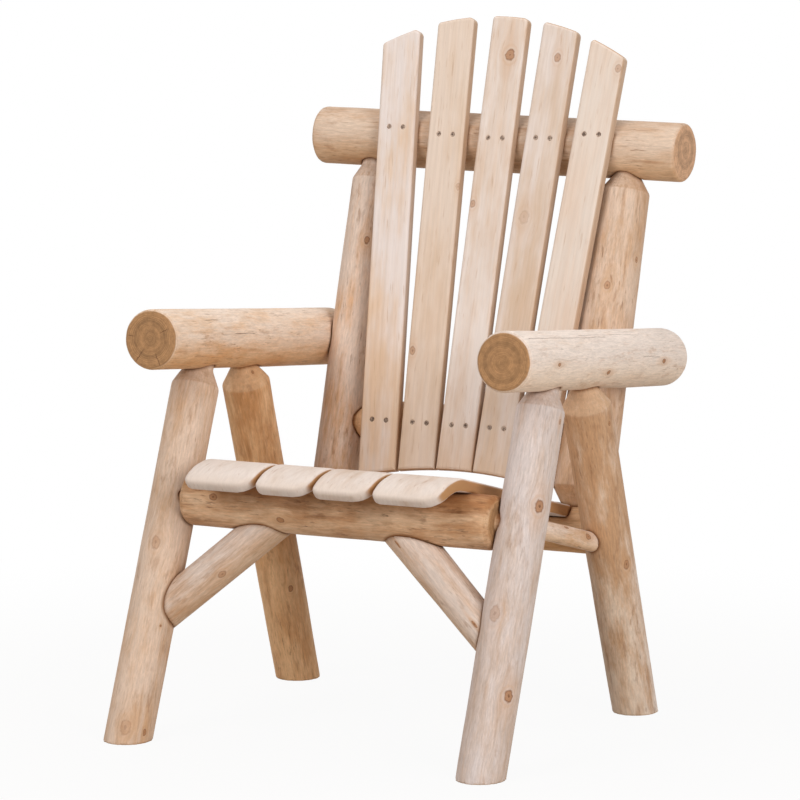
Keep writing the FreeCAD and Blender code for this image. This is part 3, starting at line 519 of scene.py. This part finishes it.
JOINT_REACH = 0.0055  # the painted shade and dirt beside a joint end this far from the other piece
wooden = [node for node, slot in slots.items() if slot != "screw_steel"]
surfaces = {}
for node in wooden:
    mesh = nodes[node].data
    corners = [point.co for point in mesh.vertices]
    surfaces[node] = BVHTree.FromPolygons(corners, [face.vertices for face in mesh.polygons])


def mark_joints(piece, node):
    """Writes on each point of a piece how near another wooden piece is: 1 where they touch."""
    places = np.empty(len(piece.data.vertices) * 3, dtype=np.float32)
    piece.data.vertices.foreach_get("co", places)
    places = places.reshape(-1, 3)
    marks = np.zeros(len(places), dtype=np.float32)
    for other in wooden:
        if other == node:
            continue
        low, high = (np.array(corner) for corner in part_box(other))
        near = np.all((places > low - JOINT_REACH) & (places < high + JOINT_REACH), axis=1)
        for index in np.flatnonzero(near):
            distance = surfaces[other].find_nearest(places[index], JOINT_REACH)[3]
            if distance is not None:
                marks[index] = max(marks[index], 1.0 - distance / JOINT_REACH)
    piece.data.attributes.new("joint", "FLOAT", "POINT").data.foreach_set("value", marks)


def stand_in(piece, node, material):
    """Gives a finished piece its material and lets it take the place of a CAD node."""
    mark_joints(piece, node)
    piece.data.materials.clear()
    piece.data.materials.append(material)
    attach(piece, "root")
    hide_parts(node)


def peeled_log(node, own, fineness, seed):
    """A log with its uneven skin; own is its grain frame."""
    piece = fine_copy(node, node + "_log", fineness)
    apply_modifier(piece, "SMOOTH", factor=SMOOTHING, iterations=LOG_SMOOTHING_PASSES)
    skin = piece.vertex_groups.new(name="skin")
    for point in piece.data.vertices:
        skin.add([point.index], min(1.0, max(0.0, room_in_box(point.co) / BOX_MARGIN)), "REPLACE")
    guide = bpy.data.objects.new("grain_guide", None)
    scene.collection.objects.link(guide)
    shift = Matrix.Translation([seed * distance for distance in SKIN_SHIFT])
    guide.matrix_world = own @ shift @ Matrix.Diagonal((1, 1, SKIN_STRETCH, 1))
    bpy.context.view_layer.update()
    for size, depth in (SWELL, PEEL):
        clouds = bpy.data.textures.new("peel", "CLOUDS")
        clouds.noise_scale = size
        clouds.noise_depth = 2
        apply_modifier(piece, "DISPLACE", texture=clouds, texture_coords="OBJECT",
                       texture_coords_object=guide, strength=depth, mid_level=0.5, vertex_group="skin")
    bpy.data.objects.remove(guide)
    bpy.ops.object.shade_smooth()
    return piece


HALF_ACROSS = Vector((0.3, 0, 0))


def middle_of(node):
    low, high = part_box(node)
    return (low + high) / 2


def across_chair(node):
    """Axis of a log that lies across the chair."""
    middle = middle_of(node)
    return middle - HALF_ACROSS, middle + HALF_ACROSS


def both_sides(foot, head):
    """Axes of a log's left and right copies, from the right one's two ends."""
    mirrored = {}
    for side, sign in SIDES.items():
        mirrored[side] = (Vector((sign * foot[0], *foot[1:])), Vector((sign * head[0], *head[1:])))
    return mirrored


# Axes of the logs, from one end to the other
front_leg = both_sides((0.300, -0.3474, 0.0), (0.296, -0.1114, 0.592))
rear_leg = both_sides((0.302, 0.2016, 0.0), (0.296, -0.0044, 0.581))
armrest = both_sides((0.296, -0.2677, 0.6076), (0.296, 0.3095, 0.5500))
side_rail = both_sides((0.287, -0.205, 0.358), (0.287, 0.102, 0.280))
brace = both_sides((0.2988, -0.270, 0.173), (0.082, -0.207, 0.358))
post = both_sides((0.219, 0.165, 0.290), (0.2245, 0.342, 0.8745))

# Tones of the wood: pale, warm, streak, sawn end and a Side tone. The Side tone has a factor for each
# colour and the turns of the surface where it begins and is full: toward +Z on a log, toward the
# edge on a board. On a log it is painted shade on the underside, and on the front rail a painted shadow
# of the seat above it; on a board it darkens the side faces.
# Painted shade on the underside of logs: plain, lighter for the blond arm, deeper for the honey arm
PAINTED_UNDERSIDE_SHADE = ((0.98, 0.86, 0.68, 1.0), 0.3, -0.8)
PAINTED_UNDERSIDE_SHADE_LIGHT = ((1.0, 0.94, 0.84, 1.0), 0.3, -0.8)
PAINTED_UNDERSIDE_SHADE_ARM = ((0.86, 0.67, 0.44, 1.0), 0.3, -0.8)
# Painted shadow of the seat slats' noses on the top of the front rail
PAINTED_SHADOW_BELOW_SEAT = ((0.66, 0.52, 0.38, 1.0), 0.2, 0.62)
SAWN = colour(170, 128, 88)
PALE_SAWN = colour(228, 190, 152)
RAIL_SAWN = colour(206, 164, 130)
BLOND = (colour(236, 220, 208), colour(228, 205, 186), colour(184, 142, 108), SAWN, PAINTED_UNDERSIDE_SHADE_LIGHT)
ASHEN = (colour(212, 198, 192), colour(198, 174, 157), colour(166, 128, 99), SAWN, PAINTED_UNDERSIDE_SHADE)
STRAW = (colour(216, 197, 184), colour(201, 168, 142), colour(160, 119, 86), SAWN, PAINTED_UNDERSIDE_SHADE)
BEIGE = (colour(217, 191, 170), colour(199, 160, 126), colour(156, 113, 80), SAWN, PAINTED_UNDERSIDE_SHADE)
ROSY = (colour(221, 198, 181), colour(210, 165, 126), colour(160, 115, 82), SAWN, PAINTED_UNDERSIDE_SHADE)
HONEY = (colour(234, 213, 195), colour(222, 184, 147), colour(166, 118, 80), SAWN, PAINTED_UNDERSIDE_SHADE_ARM)
FAWN = (colour(235, 220, 208), colour(196, 159, 127), colour(150, 106, 72), PALE_SAWN, PAINTED_UNDERSIDE_SHADE)
TAN = (colour(232, 195, 156), colour(197, 149, 104), colour(136, 90, 55), PALE_SAWN, PAINTED_UNDERSIDE_SHADE)
RUSSET = (colour(230, 195, 160), colour(192, 143, 101), colour(120, 77, 47), SAWN, PAINTED_SHADOW_BELOW_SEAT)
RAIL = (colour(215, 190, 168), colour(195, 157, 125), colour(154, 109, 75), RAIL_SAWN, PAINTED_UNDERSIDE_SHADE)
BARKY = (colour(236, 215, 200), colour(206, 165, 127), colour(138, 94, 58), SAWN, PAINTED_UNDERSIDE_SHADE)

# Splits: which way they face, where they begin and end along the log (or from the pith
# on a sawn end), their width, and whether they lie on the sawn end
LEFT_ARM_CHECKS = [
    ((-0.58, 0, -0.81), 0.018, 0.046, 0.0010, True),
    ((0.40, 0, -0.91), 0.021, 0.046, 0.0009, True),
    ((0.84, 0, 0.53), 0.016, 0.036, 0.0009, True),
    ((-1.0, 0, 0.1), 0.028, 0.042, 0.0006, True),
    ((0.75, 0, 0.66), 0.09, 0.14, 0.0007, False),
    ((0.97, 0, 0.2), 0.17, 0.24, 0.0007, False),
]
RIGHT_ARM_SPLITS = [
    ((0.62, 0, 0.78), 0.02, 0.30, 0.0007, False),
    ((0.52, 0, 0.85), 0.20, 0.40, 0.0005, False),
    ((0.99, 0, 0.1), 0.40, 0.47, 0.0005, False),
]

# Node, axis, tones, warmth at its start and further along, flecks, mesh fineness,
# knots (place, radius, length over width, depth of colour) and splits
LOGS = [
    ("front_leg_left", front_leg["left"], BEIGE, (0.46, 0.45), 1.0, 0.0021,
     [((-0.294, -0.270, 0.295), 0.0068, 1.4, 0.4), ((-0.288, -0.375, 0.026), 0.0075, 1.6, 0.35),
      ((-0.266, -0.357, 0.017), 0.0034, 1.6, 1.0), ((-0.268, -0.301, 0.172), 0.0016, 1.2, 1.0)], []),
    ("front_leg_right", front_leg["right"], ASHEN, (0.53, 0.45), 0.9, 0.0021,
     [((0.330, -0.213, 0.388), 0.0072, 1.3, 0.95), ((0.295, -0.293, 0.238), 0.0084, 1.4, 0.35),
      ((0.331, -0.319, 0.122), 0.0066, 1.3, 0.95), ((0.333, -0.1497, 0.5067), 0.0026, 1.5, 0.7)], []),
    ("rear_leg_left", rear_leg["left"], TAN, (0.50, 0.53), 1.5, 0.0021,
     [((-0.270, 0.120, 0.161), 0.0042, 1.3, 1.0), ((-0.275, 0.005, 0.527), 0.0024, 1.3, 1.0)], []),
    # Warmer towards its head: painted shade under the armrest
    ("rear_leg_right", rear_leg["right"], FAWN, (0.44, 0.64), 1.3, 0.0021,
     [((0.332, 0.096, 0.253), 0.005, 1.5, 0.7), ((0.3343, 0.025, 0.4821), 0.0026, 1.4, 0.8)], []),
    ("armrest_left", armrest["left"], HONEY, (0.46, 0.46), 1.4, 0.0020, [], LEFT_ARM_CHECKS),
    ("armrest_right", armrest["right"], BLOND, (0.39, 0.39), 1.1, 0.0020,
     [((0.341, -0.170, 0.595), 0.003, 1.7, 0.9), ((0.338, 0.013, 0.562), 0.0034, 1.7, 1.0),
      ((0.341, 0.214, 0.557), 0.0036, 1.7, 1.0)], RIGHT_ARM_SPLITS),
    ("front_seat_rail", across_chair("front_seat_rail"), RUSSET, (0.50, 0.50), 2.0, 0.0019,
     [((-0.201, -0.255, 0.370), 0.0046, 1.4, 1.0), ((-0.085, -0.255, 0.342), 0.0046, 1.4, 1.0)], []),
    ("rear_seat_rail", across_chair("rear_seat_rail"), TAN, (0.52, 0.52), 1.0, 0.0026, [], []),
    ("side_rail_left", side_rail["left"], BARKY, (0.5, 0.5), 2.0, 0.0013, [], []),
    ("side_rail_right", side_rail["right"], BARKY, (0.46, 0.46), 2.4, 0.0013,
     [((0.3012, 0.0229, 0.3055), 0.0044, 2.0, 0.9), ((0.2976, -0.0492, 0.3299), 0.0026, 3.0, 0.9)], []),
    ("front_brace_left", brace["left"], STRAW, (0.48, 0.48), 1.4, 0.0014,
     [((-0.1808, -0.2633, 0.2531), 0.0046, 1.5, 0.6)], []),
    ("front_brace_right", brace["right"], STRAW, (0.46, 0.46), 1.5, 0.0014,
     [((0.259, -0.286, 0.217), 0.0018, 4.0, 1.0), ((0.1132, -0.2499, 0.3199), 0.0016, 5.0, 1.0)], []),
    ("back_post_left", post["left"], ROSY, (0.46, 0.45), 1.5, 0.0021,
     [((-0.206, 0.262, 0.716), 0.0046, 1.4, 0.9)], []),
    ("back_post_right", post["right"], BEIGE, (0.50, 0.48), 1.6, 0.0021,
     [((0.2333, 0.2353, 0.6681), 0.0048, 1.3, 0.6), ((0.2632, 0.2802, 0.7049), 0.0032, 1.5, 0.7)], []),
    ("top_back_rail", across_chair("top_back_rail"), RAIL, (0.48, 0.46), 1.3, 0.0022, [], []),
    ("lower_back_rail", across_chair("lower_back_rail"), TAN, (0.5, 0.5), 1.0, 0.0022, [], []),
]

LOG_SEED, SLAT_SEED, SEAT_SEED = 1.0, 20.0, 30.0
LOG_RELIEF, SLAT_RELIEF, SEAT_RELIEF = 0.0013, 0.0005, 0.0004
for number, (node, axis, tones, warmth, flecks, fineness, knots, splits) in enumerate(LOGS):
    own = grain_frame(*axis)
    seed = LOG_SEED + number
    material = wood(node + "_wood", trunk_tree, own, tones, seed, warmth, flecks, LOG_RELIEF,
                    knots, splits)
    stand_in(peeled_log(node, own, fineness, seed), node, material)


# Back slats and screws keep their CAD shapes
def dress(node, material):
    mesh = nodes[node].data
    mesh.materials.clear()
    mesh.materials.append(material)
    mesh.polygons.foreach_set("material_index", [0] * len(mesh.polygons))


SLAT_STREAK = colour(180, 138, 102)
SLAT_END = colour(190, 148, 112)
SLAT_EDGE = ((0.78, 0.67, 0.56, 1.0), 0.7, 0.95)
SEAT_EDGE = ((0.66, 0.41, 0.20, 1.0), 0.7, 0.95)
SEAT = (colour(221, 207, 197), colour(203, 179, 160), colour(170, 130, 100), colour(216, 199, 186),
        SEAT_EDGE)
BACK_LEAN = math.radians(15.9)
BACK_TOP = Vector((0.0, 0.299, 0.887))
SLAT_RUN = 0.6        # from the slats' tops down to the start of their grain
SLAT_FLECKS = 1.0
# Place of its top, fan, pale and warm tones, warmth at its foot and further up, knots
BACK_SLATS = [
    # Slat 1's warm tone at its foot is partly painted warm light bounced up from the seat
    (-0.164, -0.0762, colour(226, 213, 206), colour(217, 187, 159), (0.60, 0.47), []),
    (-0.074, -0.0386, colour(221, 201, 184), colour(209, 182, 157), (0.54, 0.48),
     [((-0.084, 0.185, 0.552), 0.0046, 1.4, 0.6), ((-0.0402, 0.2603, 0.8101), 0.0036, 1.6, 0.35)]),
    (0.0145, 0.0021, colour(226, 213, 204), colour(212, 186, 164), (0.53, 0.53),
     [((0.023, 0.318, 1.019), 0.0072, 1.25, 0.9), ((-0.010, 0.251, 0.785), 0.0042, 1.5, 0.6)]),
    (0.098, 0.0376, colour(221, 206, 196), colour(206, 180, 156), (0.53, 0.50),
     [((0.107, 0.317, 1.017), 0.005, 1.5, 0.65), ((0.0829, 0.2469, 0.7674), 0.0075, 1.4, 0.2)]),
    (0.181, 0.0665, colour(222, 207, 194), colour(219, 197, 179), (0.48, 0.54),
     [((0.214, 0.313, 1.003), 0.005, 1.3, 0.45)]),
]
for number, (top, fan, pale, warm, warmth, knots) in enumerate(BACK_SLATS, 1):
    up = Vector((fan, math.sin(BACK_LEAN), math.cos(BACK_LEAN))).normalized()
    foot = BACK_TOP + Vector((top, 0, 0)) - up * SLAT_RUN
    node = f"back_slat_{number}"
    own = grain_frame(foot, foot + up)
    tones = (pale, warm, SLAT_STREAK, SLAT_END, SLAT_EDGE)
    dress(node, wood(node + "_wood", board_tree, own, tones, SLAT_SEED + number, warmth,
                     SLAT_FLECKS, SLAT_RELIEF, knots))


# Seat slats: their rolled noses are sanded round
NOSE = 0.05           # length of the rounded nose
NOSE_FADE = 0.03      # the rounding fades out over this length behind it
BOARD_SANDING = 0.08  # share of the rounding on the rest of the slat
TIP_LIFT = 0.004      # how far the worn tip of the nose is lifted
SANDING_PASSES = 34
SEAT_FINENESS = 0.0017
SEAT_FRONT = (-0.33, 0.43)            # Y and Z where the grain of the seat slats starts
SEAT_ALONG = Vector((0, 0.97, -0.242))  # and the way it runs
SEAT_WARMTH = (0.46, 0.46)
SEAT_FLECKS = 1.2


def sanded_slat(node):
    """A seat slat with a round nose and softened edges."""
    piece = fine_copy(node, node + "_sanded", SEAT_FINENESS)
    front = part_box(node)[0].y
    nose = piece.vertex_groups.new(name="nose")
    tip = piece.vertex_groups.new(name="tip")
    for point in piece.data.vertices:
        behind = min(1.0, max(0.0, (point.co.y - front - NOSE) / NOSE_FADE))
        nose.add([point.index], 1.0 - behind * (1.0 - BOARD_SANDING), "REPLACE")
        tip.add([point.index], max(0.0, 1.0 - (point.co.y - front) / NOSE), "REPLACE")
    apply_modifier(piece, "SMOOTH", factor=SMOOTHING, iterations=SANDING_PASSES, vertex_group="nose")
    apply_modifier(piece, "DISPLACE", direction="Z", strength=TIP_LIFT, mid_level=0.0,
                   vertex_group="tip")
    bpy.ops.object.shade_smooth()
    return piece


for number in range(1, 5):
    node = f"seat_slat_{number}"
    front = Vector((middle_of(node).x, *SEAT_FRONT))
    own = grain_frame(front, front + SEAT_ALONG)
    material = wood(node + "_wood", board_tree, own, SEAT, SEAT_SEED + number, SEAT_WARMTH,
                    SEAT_FLECKS, SEAT_RELIEF)
    stand_in(sanded_slat(node), node, material)


STEEL_COAT = colour(84, 64, 50)
STEEL_WORN = colour(172, 150, 132)


def screw_steel():
    """Dark-coated steel, worn to the metal in places."""
    made, graph, shader = new_material("dark_screw_steel")
    place = graph.node("ShaderNodeTexCoord").outputs["Object"]
    worn = graph.noise(place, (300.0, 300.0, 300.0), 4.0, 0.7)
    coat = graph.mix(graph.step(worn, 0.4, 0.62), STEEL_COAT, STEEL_WORN)
    graph.feed(shader.inputs["Base Color"], coat)
    graph.feed(shader.inputs["Roughness"], graph.step(worn, 0.3, 0.7, 0.38, 0.56))
    shader.inputs["Metallic"].default_value = 0.45
    return made


steel = screw_steel()
for node, slot in slots.items():
    if slot == "screw_steel":
        dress(node, steel)


# Camera at the photograph's place
EYE = Vector((3.1054, -6.0804, 1.4380))
AIM = Vector((0.0266, -0.0738, 0.5110))
FOCAL_LENGTH = 200.0
SENSOR = 36.0
SIGHT = 60.0
lens = bpy.data.cameras.new("camera")
lens.lens = FOCAL_LENGTH
lens.sensor_width = SENSOR
lens.clip_end = SIGHT
camera = bpy.data.objects.new("camera", lens)
scene.collection.objects.link(camera)
camera.location = EYE
camera.rotation_euler = (AIM - EYE).to_track_quat("-Z", "Y").to_euler()
scene.camera = camera


# Soft studio light, white surroundings and a pale floor
AMBIENT = 0.38
WHITE = (1, 1, 1, 1)
FLOOR_SIZE = 24.0
FLOOR_TINTS = (colour(186, 176, 166), colour(192, 183, 174))
FLOOR_GLOW = (0.5, 1.6, 0.94, 1.0)  # the floor near the chair shows its shadow, further out it is white


def soft_box(name, place, aim, size, power):
    light = bpy.data.lights.new(name, "AREA")
    light.shape = "DISK"
    light.size = size
    light.energy = power
    lamp = bpy.data.objects.new(name, light)
    scene.collection.objects.link(lamp)
    lamp.location = place
    lamp.rotation_euler = (Vector(aim) - Vector(place)).to_track_quat("-Z", "Y").to_euler()


soft_box("key", (-1.6, -4.0, 3.4), (0, 0, 0.5), 2.4, 94.0)
soft_box("fill", (3.8, -2.2, 2.0), (0, 0, 0.5), 2.6, 112.0)
soft_box("top", (-0.4, 0.6, 3.8), (0, 0, 0.6), 2.4, 38.0)


def seen_white(graph):
    """1 for rays that see the surroundings, 0 for those that light the chair."""
    rays = graph.node("ShaderNodeLightPath")
    seen = graph.maths("ADD", rays.outputs["Is Camera Ray"], rays.outputs["Is Glossy Ray"])
    return graph.maths("ADD", seen, rays.outputs["Is Transmission Ray"], clamp=True)


world = bpy.data.worlds.new("studio")
scene.world = world
world.use_nodes = True
graph = Graph(world.node_tree)
ambient = world.node_tree.nodes["Background"]
ambient.inputs["Color"].default_value = WHITE
ambient.inputs["Strength"].default_value = AMBIENT
white = graph.node("ShaderNodeBackground")
white.inputs["Color"].default_value = WHITE
white.inputs["Strength"].default_value = 1.0
choice = graph.node("ShaderNodeMixShader")
graph.feed(choice.inputs[0], seen_white(graph))
graph.feed(choice.inputs[1], ambient.outputs[0])
graph.feed(choice.inputs[2], white.outputs[0])
graph.feed(world.node_tree.nodes["World Output"].inputs["Surface"], choice.outputs[0])

bpy.ops.object.select_all(action="DESELECT")
bpy.ops.mesh.primitive_plane_add(size=FLOOR_SIZE, location=(0, 0, 0))
floor = bpy.context.active_object
floor.name = "floor"
floor_paint, graph, shader = new_material("pale_floor")
spot = graph.node("ShaderNodeTexCoord").outputs["Object"]
tint = graph.noise(spot, (3.0, 3.0, 3.0), 2.0)
graph.feed(shader.inputs["Base Color"], graph.mix(tint, *FLOOR_TINTS))
shader.inputs["Roughness"].default_value = 0.9
glow = graph.node("ShaderNodeEmission")
glow.inputs["Strength"].default_value = 1.0
far = graph.step(graph.vector("LENGTH", spot), *FLOOR_GLOW)
blend = graph.node("ShaderNodeMixShader")
graph.feed(blend.inputs[0], graph.maths("MULTIPLY", seen_white(graph), far))
graph.feed(blend.inputs[1], shader.outputs[0])
graph.feed(blend.inputs[2], glow.outputs[0])
graph.feed(floor_paint.node_tree.nodes["Material Output"].inputs["Surface"], blend.outputs[0])
floor.data.materials.append(floor_paint)

scene.view_settings.view_transform = "Standard"
